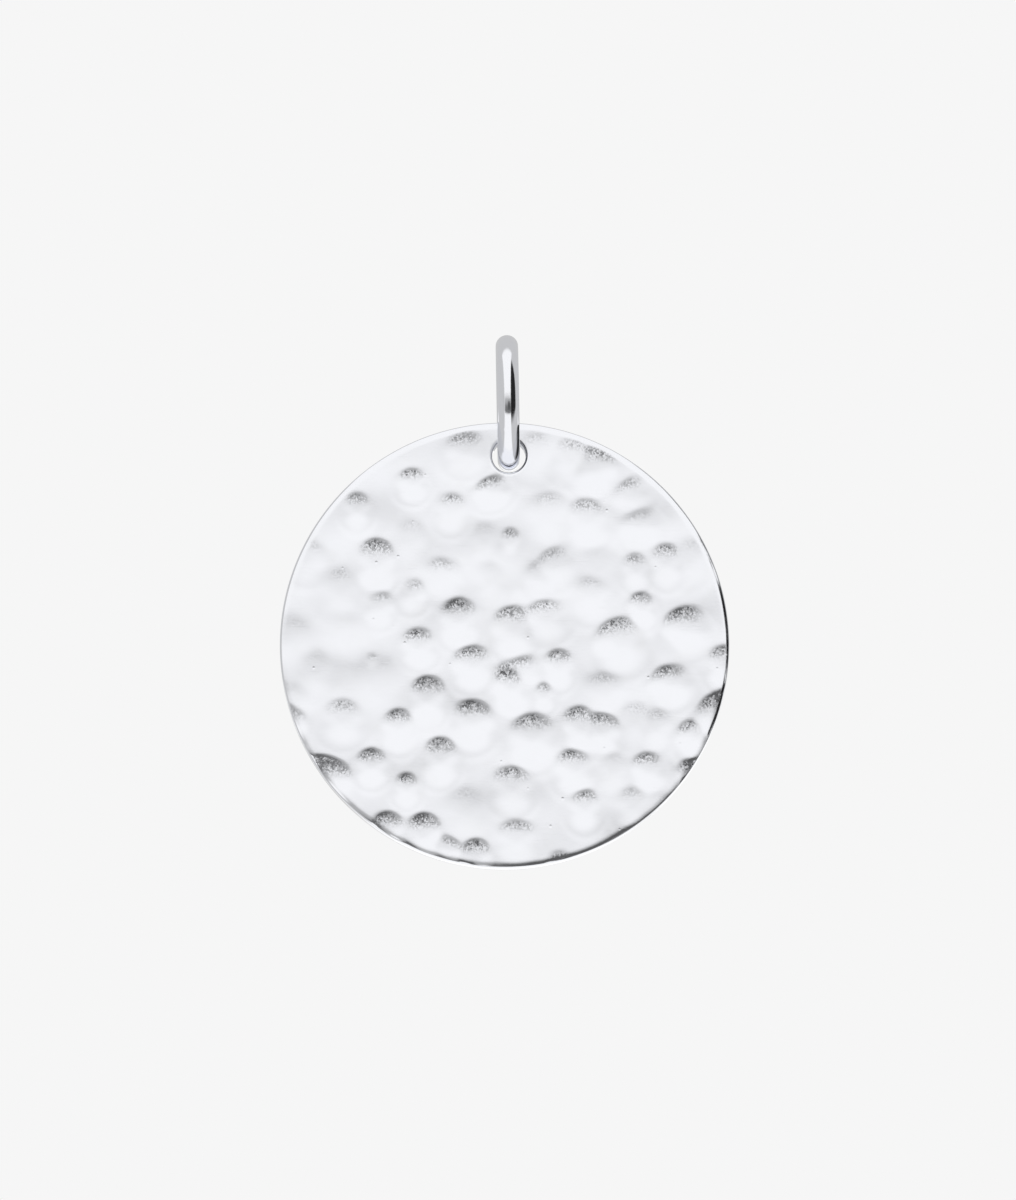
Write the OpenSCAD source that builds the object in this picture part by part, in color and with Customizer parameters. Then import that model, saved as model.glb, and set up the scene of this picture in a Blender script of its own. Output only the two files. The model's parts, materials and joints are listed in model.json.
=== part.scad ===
/* [Disc] */
// Diameter of the disc
disc_d = 20; // [18:0.5:24]
// Thickness of the disc between its two faces
disc_t = 1.2; // [0.9:0.1:1.4]
// Radius that rounds both edges of the rim
rim_round = 0.12; // [0.06:0.02:0.2]

/* [Hanging hole] */
// Diameter of the drilled hole
hole_d = 1.5; // [1.5:0.05:1.8]
// Radius that rounds both edges of the hole
hole_round = 0.12; // [0.05:0.01:0.14]
// Metal left between the hole and the rim
hole_web = 0.75; // [0.65:0.05:1.2]
// Distance of the hole to the right of the centre of the disc
hole_right = 0.19; // [0:0.01:0.3]

/* [Jump ring] */
// Diameter of the round wire
wire_d = 1.0; // [0.8:0.05:1.1]
// Inside diameter of the ring
ring_id = 4.1; // [4:0.1:6]
// Lean of the ring to the left, in degrees
ring_lean = 1; // [0:0.5:3]
// Height of the hole's middle above the middle of the wire
hole_rise = 0.1; // [0:0.05:0.1]

/* [Hammer marks] */
// Depth of the marks as a share of the charted depth
mark_share = 1; // [0.6:0.1:1.2]

/* [Hidden] */

// Fineness of rims and wires, of the marks' outlines and of the hammer's large ball
round_fn = 96;
mark_fn = 64;
ball_fn = 720;
// Colour of polished silver
SILVER = [0.86, 0.87, 0.88];
// Length by which the drill's path and a mark's cap reach past a face
overcut = 0.5;
mark_over = 0.03;

hole_r = hole_d / 2;
hole_up = disc_d / 2 - hole_web - hole_r;
ring_r = (ring_id + wire_d) / 2;
// The chain bears on the inside of the ring's top, which is the origin
ring_z = -ring_id / 2;
// The disc turns about its hole, round the wire at the bottom of the leaning ring
wire_drop = ring_r - ring_z;
pivot_x = wire_drop * sin(ring_lean);
pivot_z = hole_rise - wire_drop * cos(ring_lean);
disc_x = pivot_x - hole_right;
disc_z = pivot_z - hole_up;
face_y = -disc_t / 2;

// Hammer marks on the front, charted on a disc of 20 mm from its centre.
// Columns: place to the right, place up, radius, depth
RIGHT = 0;
UP = 1;
RADIUS = 2;
DEPTH = 3;
chart_d = 20;
MARKS = [
    // Top edge, beside and above the hole
    [-1.98, 8.85, 0.72, 0.055], [1.50, 8.72, 0.82, 0.038], [3.25, 8.50, 0.75, 0.052],
    [4.35, 8.05, 0.82, 0.075], [-4.28, 7.36, 0.56, 0.055], [4.10, 7.45, 0.48, 0.040],
    // Row under the hole
    [-6.58, 6.25, 0.60, 0.050], [-2.25, 6.15, 0.66, 0.046], [-0.90, 6.95, 0.55, 0.058],
    [1.85, 5.95, 0.95, 0.044], [3.65, 5.78, 0.86, 0.068], [5.18, 6.70, 0.62, 0.046],
    // Upper middle
    [-8.30, 3.85, 0.70, 0.034], [-5.60, 3.90, 0.90, 0.095], [-3.90, 4.75, 0.75, 0.030],
    [-0.95, 4.75, 0.70, 0.025], [0.32, 4.72, 0.52, 0.042], [0.00, 4.00, 0.75, 0.028],
    [1.74, 3.55, 0.66, 0.050], [5.60, 5.42, 0.68, 0.046],
    // Row above the centre
    [-7.40, 2.60, 0.85, 0.035], [-3.70, 2.32, 0.58, 0.043], [-2.65, 3.15, 0.72, 0.042],
    [-0.65, 3.05, 0.76, 0.035], [1.05, 3.05, 0.60, 0.034], [4.15, 3.60, 0.80, 0.030],
    [5.75, 3.52, 0.64, 0.052], [7.10, 3.85, 0.74, 0.066], [8.45, 3.95, 0.75, 0.028],
    // Left and right of the centre
    [-9.00, 0.25, 0.85, 0.030], [-6.60, 0.55, 0.80, 0.028], [-5.30, 1.80, 0.62, 0.044],
    [-3.92, 0.08, 0.66, 0.058], [-2.12, 1.31, 0.84, 0.081], [0.12, 0.88, 0.87, 0.080],
    [1.58, 1.32, 0.72, 0.062], [3.95, 2.40, 0.80, 0.052], [5.98, 1.78, 0.62, 0.060],
    [4.64, 0.20, 0.95, 0.088], [7.58, 0.76, 0.85, 0.078], [6.75, -0.35, 0.70, 0.025],
    // Row below the centre
    [-8.30, -1.00, 0.80, 0.035], [-5.90, -0.72, 0.33, 0.022], [-5.60, -1.60, 1.10, 0.034],
    [-3.38, -2.20, 0.84, 0.088], [-1.66, -0.78, 0.76, 0.078], [0.02, -1.70, 1.00, 0.070],
    [0.52, -1.15, 0.65, 0.056], [2.38, -0.86, 0.68, 0.065], [1.72, -2.16, 0.52, 0.052],
    [0.10, -1.76, 0.85, 0.125], [4.45, -2.00, 0.82, 0.040], [7.00, -1.66, 0.74, 0.070],
    [9.70, -0.74, 0.74, 0.070],
    // Lower middle
    [-9.20, -2.45, 0.75, 0.030], [-9.25, -3.45, 0.75, 0.085], [-7.10, -3.18, 0.78, 0.060],
    [-4.80, -3.55, 0.74, 0.074], [-1.15, -3.32, 0.85, 0.086], [1.04, -3.95, 0.95, 0.085],
    [3.25, -3.55, 0.83, 0.080], [4.50, -3.72, 0.72, 0.080], [5.75, -3.30, 0.72, 0.038],
    [6.85, -3.55, 0.72, 0.042], [9.30, -3.24, 1.15, 0.112], [7.98, -4.14, 0.70, 0.065],
    // Row above the bottom
    [-7.85, -5.95, 0.98, 0.140], [-5.90, -5.27, 0.64, 0.068], [-4.35, -6.32, 0.56, 0.055],
    [-2.75, -4.93, 0.81, 0.085], [0.38, -6.20, 0.80, 0.075], [2.92, -5.40, 0.80, 0.076],
    [4.85, -5.50, 0.70, 0.030], [6.18, -5.48, 0.70, 0.064], [8.25, -5.80, 0.76, 0.080],
    // Bottom edge
    [-5.15, -8.20, 0.73, 0.085], [-3.45, -8.35, 0.82, 0.095], [-1.90, -7.35, 0.92, 0.032],
    [-2.18, -9.12, 0.45, 0.050], [-1.22, -9.40, 0.76, 0.085], [0.50, -8.55, 0.75, 0.060],
    [2.35, -9.85, 0.60, 0.040], [3.55, -7.12, 0.72, 0.068], [5.60, -7.05, 0.75, 0.048],
    [6.95, -7.30, 0.75, 0.030], [5.14, -9.02, 0.75, 0.035]
];

// A round blank of even thickness with softened rim edges
module blank() {
    straight_r = disc_d / 2 - rim_round;
    corner_y = disc_t / 2 - rim_round;
    rotate([90, 0, 0])
        rotate_extrude($fn = round_fn) {
            translate([0, -disc_t / 2])
                square([straight_r, disc_t]);
            translate([0, -corner_y])
                square([disc_d / 2, 2 * corner_y]);
            for (side = [-1, 1])
                translate([straight_r, side * corner_y])
                    circle(r = rim_round, $fn = round_fn);
        }
}

// The drill's path, flared at both faces to leave rounded edges
module hole_cutter() {
    corner_y = disc_t / 2 - hole_round;
    rotate([90, 0, 0])
        rotate_extrude($fn = round_fn)
            difference() {
                translate([0, -disc_t / 2 - overcut])
                    square([hole_r + hole_round, disc_t + 2 * overcut]);
                translate([hole_r, -corner_y])
                    square([hole_round + overcut, 2 * corner_y]);
                for (side = [-1, 1])
                    translate([hole_r + hole_round, side * corner_y])
                        circle(r = hole_round, $fn = round_fn);
            }
}

// One blow of a ball hammer: a shallow cap with the radius and depth of its mark
module hammer_mark(mark) {
    depth = mark[DEPTH] * mark_share;
    ball_r = (mark[RADIUS] ^ 2 + depth ^ 2) / (2 * depth);
    spread = disc_d / chart_d;
    translate([mark[RIGHT] * spread, face_y, mark[UP] * spread])
        rotate([90, 0, 0])
            rotate_extrude($fn = mark_fn)
                intersection() {
                    translate([0, ball_r - depth])
                        circle(r = ball_r, $fn = ball_fn);
                    translate([0, -2 * depth])
                        square([2 * mark[RADIUS], 2 * depth + mark_over]);
                }
}

// The hammered disc, drilled near its top
module disc() {
    color(SILVER)
        translate([disc_x, 0, disc_z])
            difference() {
                blank();
                translate([hole_right, 0, hole_up])
                    hole_cutter();
                for (mark = MARKS)
                    hammer_mark(mark);
            }
}

// The closed jump ring, edge-on to the front and through the hole
module jump_ring() {
    color(SILVER)
        rotate([0, -ring_lean, 0])
            translate([0, 0, ring_z])
                rotate([0, 90, 0])
                    rotate_extrude($fn = round_fn)
                        translate([ring_r, 0])
                            circle(d = wire_d, $fn = round_fn);
}

disc();
jump_ring();
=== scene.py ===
import json
import math

import bpy
import numpy as np
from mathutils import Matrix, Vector, geometry


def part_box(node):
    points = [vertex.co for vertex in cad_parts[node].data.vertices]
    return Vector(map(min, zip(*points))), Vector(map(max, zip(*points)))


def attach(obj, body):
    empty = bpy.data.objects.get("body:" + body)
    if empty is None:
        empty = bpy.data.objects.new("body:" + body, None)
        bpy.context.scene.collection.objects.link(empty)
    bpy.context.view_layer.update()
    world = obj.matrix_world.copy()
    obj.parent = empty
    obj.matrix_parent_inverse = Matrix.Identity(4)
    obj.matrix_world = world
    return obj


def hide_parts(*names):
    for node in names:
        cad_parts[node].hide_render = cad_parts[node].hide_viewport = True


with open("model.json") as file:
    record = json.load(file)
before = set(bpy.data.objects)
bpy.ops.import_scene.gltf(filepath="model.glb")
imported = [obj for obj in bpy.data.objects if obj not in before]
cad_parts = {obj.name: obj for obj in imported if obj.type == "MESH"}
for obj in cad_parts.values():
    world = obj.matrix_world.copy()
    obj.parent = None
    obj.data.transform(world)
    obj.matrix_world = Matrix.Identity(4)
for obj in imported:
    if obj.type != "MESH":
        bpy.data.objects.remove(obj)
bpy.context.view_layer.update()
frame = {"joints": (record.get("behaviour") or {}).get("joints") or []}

# Lengths are in millimetres, from the frame's origin or, on a face, from the disc's centre.
# Blender's units are metres, so lengths are scaled where Blender takes them. +Z is up, and the
# front faces -Y
MM = 0.001

# Places and sizes from the frame
disc_low, disc_high = (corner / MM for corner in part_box("disc"))
ring_low, ring_high = (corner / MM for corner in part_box("jump_ring"))
swing = next(joint for joint in frame["joints"] if joint["name"] == "disc_swing")
pivot = Vector(swing["pos_m"]) / MM

disc_centre = (disc_low + disc_high) / 2
disc_r = (disc_high.x - disc_low.x) / 2
front_y, back_y = disc_low.y, disc_high.y
hole_x, hole_z = pivot.x - disc_centre.x, pivot.z - disc_centre.z

# Jump ring: its wire, its middle circle, and its lean about the inside of its top, the origin
WIRE_R = 0.5
RING_STEPS = 256
WIRE_STEPS = 64
ring_centre = (ring_low + ring_high) / 2
ring_r = (ring_high.y - ring_low.y) / 2 - WIRE_R
ring_lean = math.asin(ring_centre.x / (ring_r - WIRE_R))

# Hanging hole, and the radius that rounds its edges
HOLE_R = 0.75
HOLE_ROUND = 0.12

# Rim of the front, which rolls off from flat to a slope. The slope is steeper towards the right,
# most of all at ROLL_TURN, and gentler near DIP_TURN, both in degrees counted up from the right
ROLL_WIDTH = 0.28
ROLL_SLOPE = 0.30
ROLL_RIGHT = 0.24
ROLL_TURN = 25
ROLL_DIP = 0.20
DIP_TURN = -43
DIP_WIDTH = 14
# Corner past the roll-off, deeper than it is wide. The face ends at a circle that lies to the
# right of the disc's centre and below it, so the corner is narrower at the lower right
CORNER_WIDTH = 0.08
CORNER_DEPTH = 0.13
FACE_OFF = (0.034, -0.034)
# Back edge of the side wall, worn to a long soft corner
BACK_WIDTH = 0.06
BACK_DEPTH = 0.6

# A hammer mark keeps its charted top edge. Its wall is steep under that edge, its floor is flat
# and its lower side fades out. Here is the share of the charted depth, and then shares of the
# radius: to the sides, up and down from the middle, over which the upper half turns into the
# lower one, and from the middle down to the wall's foot
MARK_SHARE = 0.89
MARK_SIDE = 1.15
MARK_UP = 1.2
MARK_DOWN = 1.8
MARK_MIDDLE = 0.2
WALL_FOOT = 0.5
# Added power of the upper half, which flattens the floor and steepens the wall
WALL_POWER = 0.4
# Share of its depth that the wall loses towards its two ends
WALL_ENDS = 0.7
# Share by which a mark is wider below its wall
LOWER_WIDER = 0.2
# Height over which two marks, or a mark and the face, blend at their edge
CREASE = 0.009
# Distance up and down over which the slope of the marks is measured
SLOPE_REACH = 0.02
# Slopes between which the hammer's grain grows to full strength, and how far below a wall's
# top edge it starts
GRAIN_SLOPES = (0.02, 0.13)
GRAIN_DROP = 0.12

# Distances between the points of the front and of the back, rings of points inside the front's
# rim, and steps round the rim, the hole and a corner
FRONT_STEP = 0.075
BACK_STEP = 0.3
RIM_RINGS = 4
RIM_STEPS = 720
HOLE_STEPS = 96
CORNER_STEPS = 8
# Least gap between the even grid and the loops round it, as a share of the grid's step
EDGE_GAP = 0.7
# Distance from a rounded corner to the loop that keeps the surface beside it straight
SUPPORT = 0.02
# A face's points start with the rim's and then the hole's
RIM = slice(0, RIM_STEPS)
HOLE = slice(RIM_STEPS, RIM_STEPS + HOLE_STEPS)
# For Blender's triangulation: fill the whole outline, and the distance that counts as none
FILL = 0
NO_DISTANCE = 1e-6

# Colours of the silver and of its faint tarnish
SILVER = (0.925, 0.934, 0.969, 1)
TARNISH = (0.91, 0.918, 0.945, 1)
# Noises: waves in a millimetre, detail and roughness
GRAIN = (8.0, 2.0, 0.6)
SCRATCHES = (3.0, 3.0, 0.7)
CLOUDS = (0.7, 3.0, 0.6)
GRAIN_HEIGHT = 0.001
# Scratches run along a slanting line, and show only where their noise passes these levels
SCRATCH_STRETCH = (0.25, 1.0, 5.0)
SCRATCH_TURN = 35
SCRATCH_LEVELS = (0.60, 0.68)
# Pits: cells in a millimetre, and the shares of a cell where a pit's side starts and ends
PIT_CELLS = 0.9
PIT_SIDE = (0.03, 0.08)
# Grains of the hammer in a millimetre of a mark's wall, and the roughness that they add
WALL_GRAINS = 14.0
WALL_ROUGHNESS = 0.07
# Levels of the clouds over which the tarnish grows to its greatest share, and the roughness
# from its least to its most
TARNISH_LEVELS = (0.45, 0.75)
TARNISH_SHARE = 0.5
DULL_LEVELS = (0.35, 0.70)
ROUGHNESS = (0.072, 0.117)

# The studio that the silver reflects. A direction leans so many degrees to the right and is
# pitched so many up from straight ahead of the front: 90 is overhead, 180 straight behind.
# A band has its start, its end, and how far each of the two is soft to either side
WHITE = 0.985
SIDE_GREY = 0.58
# White sweep from overhead, down the front and under the pendant, grey at its sides
SWEEP_LEAN = (-36, 29, 4, 3)
SWEEP_PITCH = (-168, 97, 3, 6)
# Bright edge of the table straight behind, and a bright slot above it, which starts softly
BEHIND = 1.1
TABLE_LEAN = (-60, 60, 10, 10)
TABLE_PITCH = (-179, -163, 2, 3)
SLOT_LEAN = (2, 11, 2, 2)
SLOT_START = (168, 174)
# Dark strip at the right, which starts softly and ends at a turn round the upright axis
STRIP = 0.02
STRIP_START = (26, 32)
STRIP_END = (80, 90)
STRIP_PITCH = (-40, 78, 14, 8)
# Haze round the opening, and the share of light that it leaves
HAZE = 0.80
HAZE_LEAN = (-38, 50, 20, 20)
HAZE_PITCH = (-24, 7.2, 5, 5.4)
# Dark opening that the camera looks through, which grows lighter from its foot to its top
OPENING_FOOT = 0.17
OPENING_TOP = 0.45
OPENING_FADE = (-17, -4)
OPENING_LEAN = (-32, 45, 6, 4)
OPENING_PITCH = (-26, 1, 2.5, 4.5)
# Darkest part of the opening, where the lens is
LENS = 0.10
LENS_LEAN = (-2, 24, 4, 5)
LENS_PITCH = (-19, -5, 3, 4)
# Plain backdrop that the camera itself sees
BACKDROP = 0.922

# Floor
FLOOR_Z = -200.0
FLOOR_HALF = 900.0
FLOOR_PALE = (0.86, 0.86, 0.86, 1)
FLOOR_ROUGHNESS = 0.9

# Camera, which looks up at the pendant a little. Clip distances are in metres
CAMERA_DISTANCE = 600.0
CAMERA_ELEVATION = math.radians(-8.0)
AIM = (0.042, 0.0, -10.917)
VIEW_HEIGHT = 53.47
SENSOR = 36.0
CLIP = (0.01, 10)

# Hammer marks on the front: place to the right, place up, radius, depth, turn of the mark
# in degrees about the top of its circle, and stretch along its top edge
MARKS = [
    # Top edge, beside and above the hole
    (-1.98, 8.85, 0.72, 0.055, 16, 1.3), (1.50, 8.72, 0.82, 0.038, -5, 1.1),
    (3.25, 8.50, 0.75, 0.052, -18, 1.3), (4.35, 8.05, 0.82, 0.075, -22, 1.3),
    (-4.28, 7.36, 0.56, 0.055, 12, 1.2), (4.10, 7.45, 0.48, 0.040, 0, 1.0),
    # Row under the hole
    (-6.58, 6.25, 0.60, 0.050, 0, 1.0), (-2.25, 6.15, 0.66, 0.046, -8, 1.1),
    (-0.90, 6.95, 0.55, 0.058, 28, 1.5), (1.85, 5.95, 0.95, 0.044, 5, 1.1),
    (3.65, 5.78, 0.86, 0.068, 0, 1.15), (5.18, 6.70, 0.62, 0.046, 36, 1.5),
    # Upper middle
    (-8.30, 3.85, 0.70, 0.034, -35, 1.3), (-5.60, 3.90, 0.90, 0.095, -5, 1.0),
    (-3.90, 4.75, 0.75, 0.030, -25, 1.1), (-0.95, 4.75, 0.70, 0.025, 5, 1.0),
    (0.32, 4.72, 0.52, 0.042, -5, 1.0), (0.00, 4.00, 0.75, 0.028, 20, 1.3),
    (1.74, 3.55, 0.66, 0.050, 38, 1.6), (5.60, 5.42, 0.68, 0.046, 28, 1.4),
    # Row above the centre
    (-7.40, 2.60, 0.85, 0.035, 5, 1.1), (-3.70, 2.32, 0.58, 0.043, -28, 1.1),
    (-2.65, 3.15, 0.72, 0.042, -12, 1.4), (-0.65, 3.05, 0.76, 0.035, 0, 1.0),
    (1.05, 3.05, 0.60, 0.034, 35, 1.2), (4.15, 3.60, 0.80, 0.030, 0, 1.2),
    (5.75, 3.52, 0.64, 0.052, 5, 1.0), (7.10, 3.85, 0.74, 0.066, 5, 1.0),
    (8.45, 3.95, 0.75, 0.028, -10, 1.0),
    # Left and right of the centre
    (-9.00, 0.25, 0.85, 0.030, -35, 1.4), (-6.60, 0.55, 0.80, 0.028, -25, 1.5),
    (-5.30, 1.80, 0.62, 0.044, -18, 1.1), (-3.92, 0.08, 0.66, 0.058, 6, 1.2),
    (-2.12, 1.31, 0.84, 0.081, 4, 1.05), (0.12, 0.88, 0.87, 0.080, 12, 1.1),
    (1.58, 1.32, 0.72, 0.062, 14, 1.4), (3.95, 2.40, 0.80, 0.052, -5, 1.15),
    (5.98, 1.78, 0.62, 0.060, 8, 1.0), (4.64, 0.20, 0.95, 0.088, 25, 1.25),
    (7.58, 0.76, 0.85, 0.078, 26, 1.25), (6.75, -0.35, 0.70, 0.025, 50, 1.3),
    # Row below the centre
    (-8.30, -1.00, 0.80, 0.035, -8, 1.0), (-5.90, -0.72, 0.33, 0.022, 0, 1.0),
    (-5.60, -1.60, 1.10, 0.034, 0, 1.2), (-3.38, -2.20, 0.84, 0.088, -4, 1.0),
    (-1.66, -0.78, 0.76, 0.078, 13, 1.2), (0.02, -1.70, 1.00, 0.070, 14, 1.1),
    (0.52, -1.15, 0.65, 0.056, 20, 1.4), (2.38, -0.86, 0.68, 0.065, 0, 1.0),
    (1.72, -2.16, 0.52, 0.052, 0, 1.0), (0.10, -1.76, 0.85, 0.125, 8, 0.95),
    (4.45, -2.00, 0.82, 0.040, 0, 1.2), (7.00, -1.66, 0.74, 0.070, 26, 1.35),
    (9.70, -0.74, 0.74, 0.070, 0, 1.0),
    # Lower middle
    (-9.20, -2.45, 0.75, 0.030, -20, 1.3), (-9.25, -3.45, 0.75, 0.085, -30, 1.3),
    (-7.10, -3.18, 0.78, 0.060, -5, 1.25), (-4.80, -3.55, 0.74, 0.074, 5, 1.05),
    (-1.15, -3.32, 0.85, 0.086, -14, 1.15), (1.04, -3.95, 0.95, 0.085, 8, 1.15),
    (3.25, -3.55, 0.83, 0.080, 8, 1.0), (4.50, -3.72, 0.72, 0.080, -15, 1.4),
    (5.75, -3.30, 0.72, 0.038, 0, 1.2), (6.85, -3.55, 0.72, 0.042, -8, 1.0),
    (9.30, -3.24, 1.15, 0.112, 26, 1.3), (7.98, -4.14, 0.70, 0.065, 30, 1.2),
    # Row above the bottom
    (-7.85, -5.95, 0.98, 0.140, -12, 1.35), (-5.90, -5.27, 0.64, 0.068, 0, 1.15),
    (-4.35, -6.32, 0.56, 0.055, 0, 1.0), (-2.75, -4.93, 0.81, 0.085, -6, 1.0),
    (0.38, -6.20, 0.80, 0.075, -3, 1.15), (2.92, -5.40, 0.80, 0.076, 10, 1.1),
    (4.85, -5.50, 0.70, 0.030, 0, 1.0), (6.18, -5.48, 0.70, 0.064, 12, 1.1),
    (8.25, -5.80, 0.76, 0.080, 8, 1.0),
    # Bottom edge
    (-5.15, -8.20, 0.73, 0.085, -3, 1.05), (-3.45, -8.35, 0.82, 0.095, -8, 1.05),
    (-1.90, -7.35, 0.92, 0.032, 5, 1.1), (-2.18, -9.12, 0.45, 0.050, -34, 1.9),
    (-1.22, -9.40, 0.76, 0.085, -5, 1.0), (0.50, -8.55, 0.75, 0.060, 0, 1.25),
    (2.35, -9.85, 0.60, 0.040, 10, 1.0), (3.55, -7.12, 0.72, 0.068, 0, 1.0),
    (5.60, -7.05, 0.75, 0.048, 5, 1.0), (6.95, -7.30, 0.75, 0.030, 0, 1.0),
    (5.14, -9.02, 0.75, 0.035, 30, 1.3),
]

# Slow waves left in the front by planishing: wavelength, direction in degrees, height, phase
WAVES = [
    (5.3, 20, 0.0080, 0.3), (3.6, 75, 0.0070, 1.9), (2.9, 118, 0.0045, 4.1), (2.3, 100, 0.0030, 2.6),
]


def waves(x, z):
    """Height of the slow waves at places on the front."""
    height = np.zeros_like(x)
    for length, direction, size, phase in WAVES:
        turn = math.radians(direction)
        along = x * math.cos(turn) + z * math.sin(turn)
        height += size * np.sin(2 * math.pi * along / length + phase)
    return height


def roll_depth(x, z):
    """Depth of the rim's roll-off."""
    past_flat = np.maximum(np.hypot(x, z) - (disc_r - ROLL_WIDTH), 0)
    turn = np.degrees(np.arctan2(z, x))
    slope = ROLL_SLOPE + ROLL_RIGHT * np.maximum(np.cos(np.radians(turn - ROLL_TURN)), 0)
    slope -= ROLL_DIP * np.exp(-((turn - DIP_TURN) / DIP_WIDTH) ** 2)
    return slope * past_flat ** 2 / (2 * ROLL_WIDTH)


def mark_depth(x, z):
    """Depth of the hammer marks, blended at their edges."""
    total = np.ones_like(x)
    for right, up, radius, depth, turn, stretch in MARKS:
        cosine, sine = math.cos(math.radians(turn)), math.sin(math.radians(turn))
        to_right, to_up = x - right, z - (up + radius)
        along = to_right * cosine + to_up * sine
        above = to_up * cosine - to_right * sine + MARK_UP * radius
        # Going up, the first turns from 0 to 1 at the mark's middle, the second at the wall's foot
        upper = 1 / (1 + np.exp(-above / (MARK_MIDDLE * radius)))
        wall = 1 / (1 + np.exp(-(above / radius + WALL_FOOT) / MARK_MIDDLE))
        reach = radius * (MARK_DOWN + (MARK_UP - MARK_DOWN) * upper)
        side = MARK_SIDE * (1 + LOWER_WIDER * (1 - wall)) * stretch * radius
        to_side = (along / side) ** 2
        rise = 1 - (to_side + (above / reach) ** 2) ** (1 + WALL_POWER * upper)
        bowl = np.sign(rise) * np.abs(rise) ** (2 - upper)
        bowl *= 1 - WALL_ENDS * wall * np.minimum(to_side, 1)
        total += np.exp(MARK_SHARE * depth * bowl / CREASE)
    return CREASE * np.log(total)


def mark_slope(x, z):
    """Steepness of the marks where they face downwards, as their top walls do."""
    deeper = mark_depth(x, z - SLOPE_REACH) - mark_depth(x, z + SLOPE_REACH)
    return deeper / (2 * SLOPE_REACH)


def circle(radius, steps, middle):
    """Points of a circle on a face, as an array of x and z."""
    turn = np.arange(steps) * 2 * math.pi / steps
    return np.column_stack([middle[0] + radius * np.cos(turn), middle[1] + radius * np.sin(turn)])


def face_points(step, rim_r, hole_r, middle, rings):
    """Rings of places along the rim, and inside them an even triangular grid that spares the hole."""
    row_gap = step * math.sqrt(3) / 2
    rows = np.arange(-int(rim_r / row_gap), int(rim_r / row_gap) + 1)
    columns = np.arange(-int(rim_r / step) - 1, int(rim_r / step) + 2)
    column, row = np.meshgrid(columns, rows)
    x = (column + (row % 2) / 2).ravel() * step
    z = row.ravel() * row_gap
    in_rings = np.hypot(x - middle[0], z - middle[1]) < rim_r - (rings + EDGE_GAP) * step
    off_hole = np.hypot(x - hole_x, z - hole_z) > hole_r + EDGE_GAP * step
    keep = in_rings & off_hole
    loops = [circle(rim_r - step * (i + 1), RIM_STEPS, middle) for i in range(rings)]
    return np.vstack([*loops, np.column_stack([x[keep], z[keep]])])


def loop_edges(points):
    """Edges round a loop of points that are numbered in turn."""
    steps = points.stop - points.start
    return [(points.start + i, points.start + (i + 1) % steps) for i in range(steps)]


def pierced_face(step, rim_r, hole_r, middle=(0, 0), rings=0):
    """Places and triangles of a face: the rim's points come first, then the hole's, then the rest."""
    rim = circle(rim_r, RIM_STEPS, middle)
    hole = circle(hole_r, HOLE_STEPS, (hole_x, hole_z))
    places = np.vstack([rim, hole, face_points(step, rim_r, hole_r, middle, rings)])
    corners = [Vector(place) for place in places]
    edges = loop_edges(RIM) + loop_edges(HOLE)
    triangles = geometry.delaunay_2d_cdt(corners, edges, [], FILL, NO_DISTANCE)[2]
    return places, [t for t in triangles if not all(HOLE.start <= i < HOLE.stop for i in t)]


def bridge(loops):
    """Quads between neighbouring loops of point numbers."""
    quads = []
    for here, there in zip(loops, loops[1:]):
        for i in range(len(here)):
            j = (i + 1) % len(here)
            quads.append((here[i], here[j], there[j], there[i]))
    return quads


class Shell:
    """Points and faces of one mesh, built up in millimetres."""

    def __init__(self):
        self.points, self.faces = [], []

    def add(self, x, y, z):
        """Adds points and returns their numbers."""
        first = len(self.points)
        self.points.extend(zip(x, y, z))
        return list(range(first, len(self.points)))


def make_object(name, shell):
    """A smooth mesh object made from a shell."""
    mesh = bpy.data.meshes.new(name)
    mesh.from_pydata([(x * MM, y * MM, z * MM) for x, y, z in shell.points], [], shell.faces)
    mesh.validate()
    mesh.polygons.foreach_set("use_smooth", [True] * len(mesh.polygons))
    made = bpy.data.objects.new(name, mesh)
    bpy.context.scene.collection.objects.link(made)
    return made


def profile_loops(shell, middle, start_y, profile):
    """Loops round a middle: each step of the profile is a radius and a way back from start_y."""
    loops = []
    steps = len(start_y)
    turn = np.arange(steps) * 2 * math.pi / steps
    for radius, back in profile:
        x = disc_centre.x + middle[0] + radius * np.cos(turn)
        z = disc_centre.z + middle[1] + radius * np.sin(turn)
        loops.append(shell.add(x, start_y + back, z))
    return loops


def corner(width, depth):
    """Steps round a quarter ellipse: ways outwards and back from its start."""
    angles = [math.pi / 2 * i / CORNER_STEPS for i in range(1, CORNER_STEPS + 1)]
    return [(width * math.sin(a), depth * (1 - math.cos(a))) for a in angles]


def rim_loops(shell, face_r, front):
    """Loops over the front corner, down the side wall and round the back corner."""
    middle = (0, 0)
    width = disc_r - face_r
    front_edge = [(face_r + width * out, back) for out, back in corner(1, CORNER_DEPTH)]
    front_edge.append((disc_r, CORNER_DEPTH + SUPPORT))
    back_r = disc_r - BACK_WIDTH
    turned = corner(BACK_WIDTH, BACK_DEPTH)
    back_edge = [(disc_r, -BACK_DEPTH - SUPPORT), (disc_r, -BACK_DEPTH)]
    back_edge += [(back_r + out, -back) for out, back in reversed(turned[:-1])]
    back_edge.append((back_r, 0))
    loops = profile_loops(shell, middle, front, front_edge)
    return loops + profile_loops(shell, middle, np.full(RIM_STEPS, back_y), back_edge)


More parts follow.
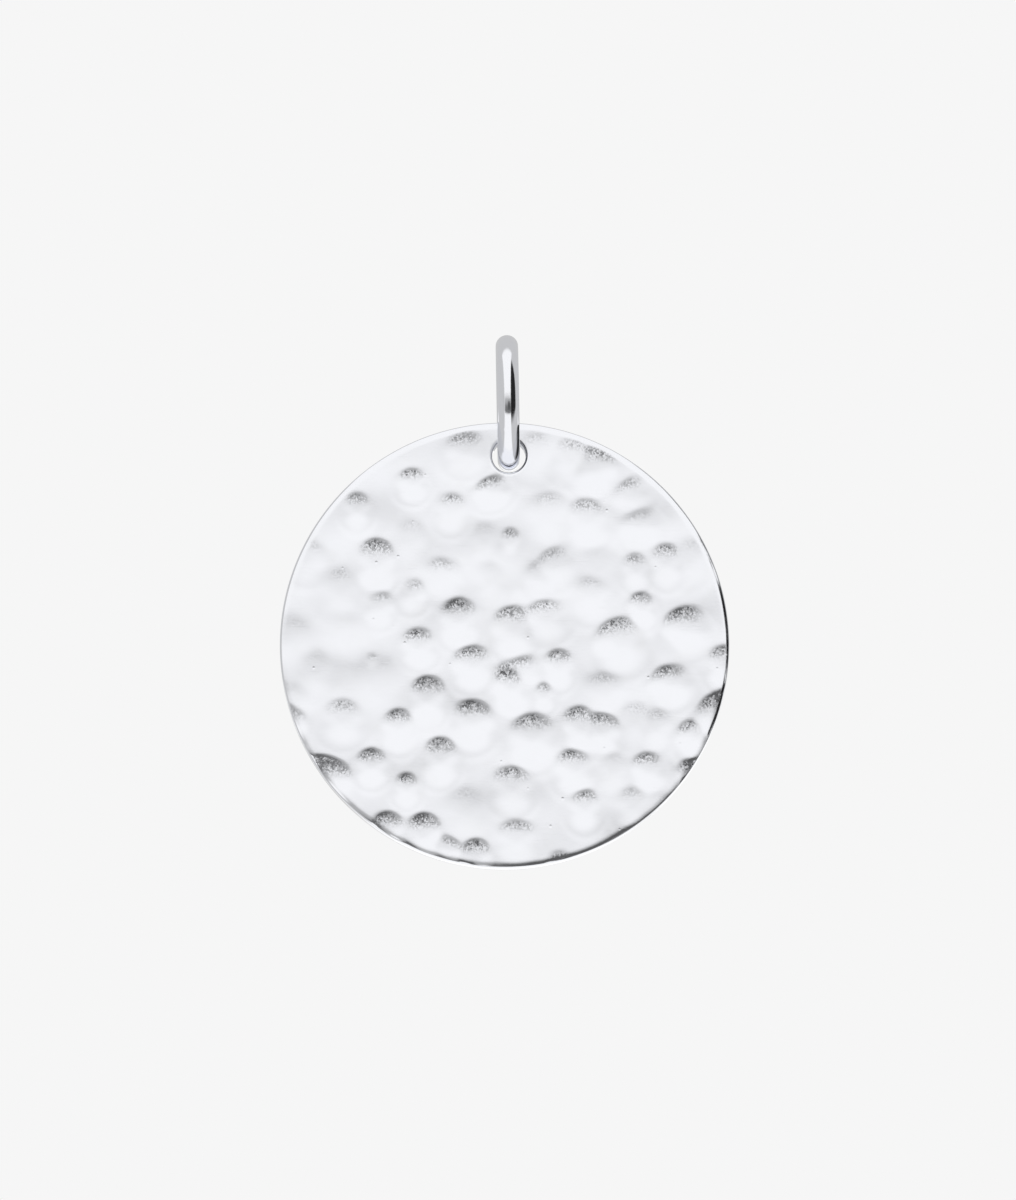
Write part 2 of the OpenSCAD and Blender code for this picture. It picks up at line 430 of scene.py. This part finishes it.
def hole_loops(shell, front):
    """Loops over the hole's rounded front edge, through it and round its back edge."""
    middle = (hole_x, hole_z)
    edge_r = HOLE_R + HOLE_ROUND
    turned = corner(HOLE_ROUND, HOLE_ROUND)
    front_edge = [(edge_r - out, back) for out, back in turned]
    front_edge.append((HOLE_R, HOLE_ROUND + SUPPORT))
    back_edge = [(HOLE_R, -HOLE_ROUND - SUPPORT), (HOLE_R, -HOLE_ROUND)]
    back_edge += [(edge_r - out, -back) for out, back in reversed(turned[:-1])]
    back_edge.append((edge_r, 0))
    loops = profile_loops(shell, middle, front, front_edge)
    return loops + profile_loops(shell, middle, np.full(HOLE_STEPS, back_y), back_edge)


def keep_walls(piece, slope):
    """Keeps in a point attribute how far each point of the front is on a steep wall, from 0 to 1."""
    low, high = GRAIN_SLOPES
    share = np.zeros(len(piece.data.vertices))
    share[:len(slope)] = np.clip((slope - low) / (high - low), 0, 1)
    attribute = piece.data.attributes.new("wall", "FLOAT", "POINT")
    attribute.data.foreach_set("value", share)


def make_disc():
    """The hammered disc: its front, its back, and the walls of its rim and hole."""
    shell = Shell()
    edge_r = HOLE_R + HOLE_ROUND
    places, triangles = pierced_face(FRONT_STEP, disc_r - CORNER_WIDTH, edge_r, FACE_OFF, RIM_RINGS)
    right, up = places.T
    front = front_y + mark_depth(right, up) + roll_depth(right, up) + waves(right, up)
    front_ids = shell.add(disc_centre.x + right, front, disc_centre.z + up)
    shell.faces += [tuple(t) for t in triangles]

    places, triangles = pierced_face(BACK_STEP, disc_r - BACK_WIDTH - SUPPORT, edge_r + SUPPORT)
    back = np.full(len(places), back_y)
    back_ids = shell.add(disc_centre.x + places[:, 0], back, disc_centre.z + places[:, 1])
    shell.faces += [(back_ids[a], back_ids[c], back_ids[b]) for a, b, c in triangles]

    rim = rim_loops(shell, np.hypot(right[RIM], up[RIM]), front[RIM])
    shell.faces += [quad[::-1] for quad in bridge([front_ids[RIM], *rim, back_ids[RIM]])]
    hole = hole_loops(shell, front[HOLE])
    shell.faces += bridge([front_ids[HOLE], *hole, back_ids[HOLE]])
    made = make_object("hammered_disc", shell)
    keep_walls(made, mark_slope(right, up + GRAIN_DROP))
    return made


def make_ring():
    """The closed ring of round wire, edge-on to the front and leaning a little to the left."""
    shell = Shell()
    lean_x, lean_z = -math.sin(ring_lean), math.cos(ring_lean)
    turn = np.arange(WIRE_STEPS) * 2 * math.pi / WIRE_STEPS
    reach = ring_r + WIRE_R * np.cos(turn)
    side = WIRE_R * np.sin(turn)
    loops = []
    for i in range(RING_STEPS):
        around = 2 * math.pi * i / RING_STEPS
        up = reach * math.sin(around)
        x = ring_centre.x + side * lean_z + up * lean_x
        y = ring_centre.y - reach * math.cos(around)
        z = ring_centre.z - side * lean_x + up * lean_z
        loops.append(shell.add(x, y, z))
    shell.faces += bridge([*loops, loops[0]])
    return make_object("polished_ring", shell)


class Nodes:
    """Short calls that add and link shader nodes."""

    def __init__(self, tree):
        self.tree = tree
        tree.nodes.clear()

    def add(self, kind, **settings):
        """Adds a node of a kind, with its settings."""
        node = self.tree.nodes.new(kind)
        for key, value in settings.items():
            setattr(node, key, value)
        return node

    def put(self, value, socket):
        """Links an output to the socket, or sets the socket's own number or colour."""
        if isinstance(value, bpy.types.NodeSocket):
            self.tree.links.new(value, socket)
        else:
            socket.default_value = value

    def put_all(self, values, sockets):
        """Puts each value on the socket in the same place."""
        for value, socket in zip(values, sockets):
            self.put(value, socket)

    def math(self, operation, *values):
        """The result of a sum on numbers or outputs."""
        node = self.add("ShaderNodeMath", operation=operation)
        self.put_all(values, node.inputs)
        return node.outputs[0]

    def vectors(self, operation, *values):
        """The result of a sum on vectors."""
        node = self.add("ShaderNodeVectorMath", operation=operation)
        self.put_all(values, node.inputs)
        return node.outputs[0]

    def ramp(self, value, start, end, low=0.0, high=1.0):
        """low before start, high after end, and a smooth step between them."""
        node = self.add("ShaderNodeMapRange", interpolation_type="SMOOTHSTEP")
        self.put_all((value, start, end, low, high), node.inputs)
        return node.outputs[0]

    def window(self, value, start, end, soft_start, soft_end):
        """1 between start and end, 0 outside, with soft sides."""
        rise = self.ramp(value, start - soft_start, start + soft_start)
        fall = self.ramp(value, end - soft_end, end + soft_end, 1.0, 0.0)
        return self.math("MULTIPLY", rise, fall)

    def blend(self, share, first, second):
        """first where the share is 0, second where it is 1."""
        node = self.add("ShaderNodeMix", data_type="FLOAT")
        self.put_all((share, first, second), (node.inputs[0], node.inputs[2], node.inputs[3]))
        return node.outputs[0]

    def blend_colours(self, share, first, second):
        """The first colour where the share is 0, the second where it is 1."""
        node = self.add("ShaderNodeMix", data_type="RGBA")
        self.put_all((share, first, second), (node.inputs[0], node.inputs[6], node.inputs[7]))
        return node.outputs[2]

    def mapped(self, place, scale, rotation=(0.0, 0.0, 0.0)):
        """The place scaled along its axes and turned."""
        node = self.add("ShaderNodeMapping")
        self.put(place, node.inputs["Vector"])
        self.put(scale, node.inputs["Scale"])
        self.put(rotation, node.inputs["Rotation"])
        return node.outputs[0]

    def noise(self, place, scale, detail, roughness):
        """Cloudy noise, mostly from 0.3 to 0.7."""
        node = self.add("ShaderNodeTexNoise")
        self.put(place, node.inputs["Vector"])
        self.put(scale, node.inputs["Scale"])
        self.put(detail, node.inputs["Detail"])
        self.put(roughness, node.inputs["Roughness"])
        return node.outputs[0]

    def cells(self, place, scale):
        """Small cells round random points, with their distances and colours."""
        node = self.add("ShaderNodeTexVoronoi", feature="F1")
        self.put(place, node.inputs["Vector"])
        self.put(scale, node.inputs["Scale"])
        return node.outputs

    def bump(self, height, most, normal=None):
        """The normal of a surface raised by up to so many millimetres."""
        node = self.add("ShaderNodeBump")
        self.put(height, node.inputs["Height"])
        self.put(most * MM, node.inputs["Distance"])
        if normal is not None:
            self.put(normal, node.inputs["Normal"])
        return node.outputs[0]

    def facets(self, place, normal, tilt):
        """The normal turned by up to half the tilt, at random from one small grain to the next."""
        grains = self.cells(place, WALL_GRAINS)["Color"]
        to_grain = self.vectors("SUBTRACT", grains, (0.5, 0.5, 0.5))
        return self.vectors("NORMALIZE", self.vectors("MULTIPLY_ADD", to_grain, tilt, normal))


def silver(name, wall_facets, pit_height, scratch_height):
    """Polished silver with a fine grain, sparse pits, faint scratches and clouds of faint tarnish.
    The hammer's grain shows on the steep walls where wall_facets, its tilt, isn't 0."""
    material = bpy.data.materials.new(name)
    material.use_nodes = True
    nodes = Nodes(material.node_tree)
    place = nodes.mapped(nodes.add("ShaderNodeTexCoord").outputs["Object"], (1 / MM,) * 3)
    cloud = nodes.noise(place, *CLOUDS)
    roughness = nodes.ramp(cloud, *DULL_LEVELS, *ROUGHNESS)
    normal = nodes.bump(nodes.noise(place, *GRAIN), GRAIN_HEIGHT)
    if wall_facets:
        wall = nodes.add("ShaderNodeAttribute", attribute_name="wall").outputs["Fac"]
        normal = nodes.facets(place, normal, nodes.math("MULTIPLY", wall, wall_facets))
        roughness = nodes.math("ADD", roughness, nodes.math("MULTIPLY", wall, WALL_ROUGHNESS))

    pit = nodes.ramp(nodes.cells(place, PIT_CELLS)["Distance"], *PIT_SIDE)
    normal = nodes.bump(pit, pit_height, normal)
    brushed = nodes.mapped(place, SCRATCH_STRETCH, (0.0, math.radians(SCRATCH_TURN), 0.0))
    scratch = nodes.ramp(nodes.noise(brushed, *SCRATCHES), *SCRATCH_LEVELS)
    normal = nodes.bump(scratch, scratch_height, normal)

    shader = nodes.add("ShaderNodeBsdfPrincipled")
    shader.inputs["Metallic"].default_value = 1.0
    tarnish = nodes.ramp(cloud, *TARNISH_LEVELS, 0.0, TARNISH_SHARE)
    nodes.put(nodes.blend_colours(tarnish, SILVER, TARNISH), shader.inputs["Base Color"])
    nodes.put(roughness, shader.inputs["Roughness"])
    nodes.put(normal, shader.inputs["Normal"])
    output = nodes.add("ShaderNodeOutputMaterial")
    nodes.put(shader.outputs[0], output.inputs["Surface"])
    return material


def make_world():
    """A soft studio round the pendant, fixed to the world's directions."""
    world = bpy.data.worlds.new("studio")
    bpy.context.scene.world = world
    world.use_nodes = True
    nodes = Nodes(world.node_tree)
    split = nodes.add("ShaderNodeSeparateXYZ")
    nodes.put(nodes.add("ShaderNodeTexCoord").outputs["Generated"], split.inputs[0])
    x, y, z = split.outputs
    ahead = nodes.math("MULTIPLY", y, -1.0)
    lean = nodes.math("MULTIPLY", nodes.math("ARCSINE", x), math.degrees(1))
    pitch = nodes.math("MULTIPLY", nodes.math("ARCTAN2", z, ahead), math.degrees(1))
    turn = nodes.math("MULTIPLY", nodes.math("ARCTAN2", x, ahead), math.degrees(1))

    def panel(lean_band, pitch_band):
        """1 inside a panel of the studio, 0 outside."""
        return nodes.math("MULTIPLY", nodes.window(lean, *lean_band), nodes.window(pitch, *pitch_band))

    level = nodes.blend(panel(SWEEP_LEAN, SWEEP_PITCH), SIDE_GREY, WHITE)
    slot = nodes.math("MULTIPLY", nodes.window(lean, *SLOT_LEAN), nodes.ramp(pitch, *SLOT_START))
    behind = nodes.math("MAXIMUM", panel(TABLE_LEAN, TABLE_PITCH), slot)
    level = nodes.blend(behind, level, BEHIND)
    strip = nodes.math("MULTIPLY", nodes.ramp(lean, *STRIP_START), nodes.window(pitch, *STRIP_PITCH))
    strip = nodes.math("MULTIPLY", strip, nodes.ramp(turn, *STRIP_END, 1.0, 0.0))
    level = nodes.blend(strip, level, STRIP)
    level = nodes.blend(panel(HAZE_LEAN, HAZE_PITCH), level, nodes.math("MULTIPLY", level, HAZE))
    inside = nodes.ramp(pitch, *OPENING_FADE, OPENING_FOOT, OPENING_TOP)
    level = nodes.blend(panel(OPENING_LEAN, OPENING_PITCH), level, nodes.math("MINIMUM", level, inside))
    level = nodes.blend(panel(LENS_LEAN, LENS_PITCH), level, nodes.math("MINIMUM", level, LENS))
    seen = nodes.add("ShaderNodeLightPath").outputs["Is Camera Ray"]
    level = nodes.blend(seen, level, BACKDROP)

    background = nodes.add("ShaderNodeBackground")
    nodes.put(level, background.inputs["Color"])
    output = nodes.add("ShaderNodeOutputWorld")
    nodes.put(background.outputs[0], output.inputs["Surface"])


def make_floor():
    """A plain pale floor well below the pendant, out of the front view."""
    shell = Shell()
    half = FLOOR_HALF
    shell.add([-half, half, half, -half], [-half, -half, half, half], [FLOOR_Z] * 4)
    shell.faces.append((0, 1, 2, 3))
    floor = make_object("floor", shell)
    floor.visible_glossy = False
    material = bpy.data.materials.new("floor_pale")
    material.use_nodes = True
    shader = material.node_tree.nodes["Principled BSDF"]
    shader.inputs["Base Color"].default_value = FLOOR_PALE
    shader.inputs["Roughness"].default_value = FLOOR_ROUGHNESS
    floor.data.materials.append(material)


def make_camera():
    """The photo's view. The sensor's width is the frame's long side, its height."""
    data = bpy.data.cameras.new("camera")
    data.sensor_width = SENSOR
    data.lens = SENSOR * CAMERA_DISTANCE / VIEW_HEIGHT
    data.clip_start, data.clip_end = CLIP
    camera = bpy.data.objects.new("camera", data)
    back = Vector((0, -math.cos(CAMERA_ELEVATION), math.sin(CAMERA_ELEVATION)))
    camera.location = (Vector(AIM) + back * CAMERA_DISTANCE) * MM
    camera.rotation_euler = (math.pi / 2 - CAMERA_ELEVATION, 0, 0)
    bpy.context.scene.collection.objects.link(camera)
    bpy.context.scene.camera = camera


def dress(piece, node, body, material):
    """Puts a piece in its node's place, on the node's body, in its material."""
    piece.data.materials.append(material)
    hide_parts(node)
    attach(piece, body)


disc_silver = silver("disc_silver", wall_facets=0.15, pit_height=0.005, scratch_height=0.0003)
ring_silver = silver("ring_silver", wall_facets=0, pit_height=0.002, scratch_height=0.0004)
dress(make_disc(), "disc", "disc", disc_silver)
dress(make_ring(), "jump_ring", "ring", ring_silver)
make_world()
make_floor()
make_camera()
bpy.context.scene.view_settings.view_transform = "Standard"
